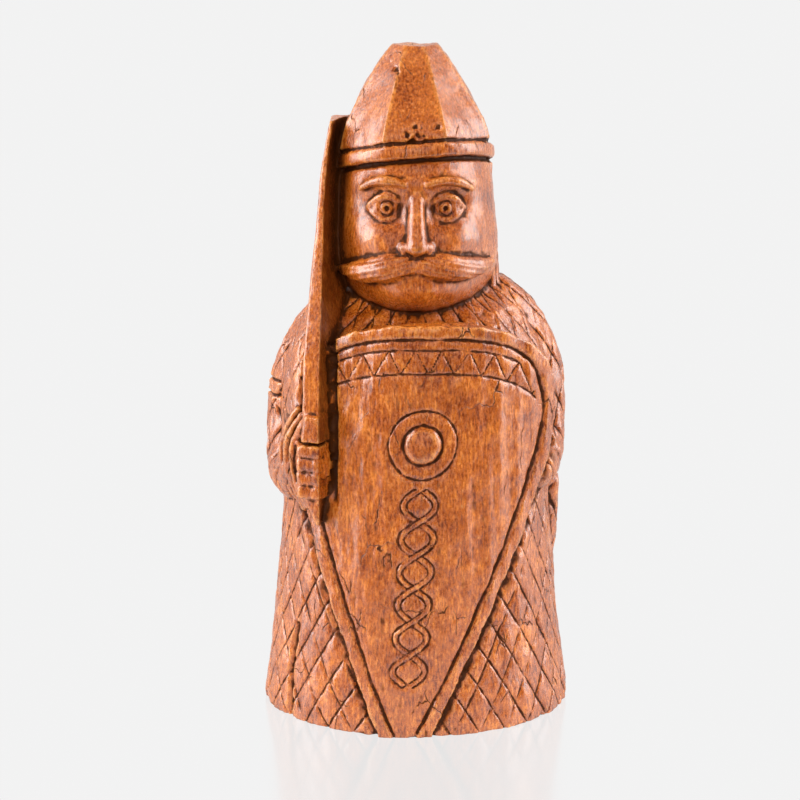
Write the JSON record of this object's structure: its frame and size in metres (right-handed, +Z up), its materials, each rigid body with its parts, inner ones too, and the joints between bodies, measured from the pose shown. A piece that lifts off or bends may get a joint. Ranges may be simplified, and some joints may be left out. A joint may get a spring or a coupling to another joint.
{
  "type": "norse warrior statuette",
  "caption": "Small upright figure of a helmeted warrior with a kite shield and a raised sword, solid, on a flat underside.",
  "frame": {"origin": "middle of the underside's box, on the plane that the figure stands on", "axes": "+Z up along the figure, the face and shield look along -Y, the sword is on the -X side"},
  "size_m": [0.043, 0.0384, 0.092],
  "materials": {
    "brown_stained_resin": "cast resin stained like brown wood, dark wash in the carving, worn lighter edges, satin"
  },
  "bodies": {
    "root": {"warrior_figure": "brown_stained_resin"}
  },
  "joints": []
}
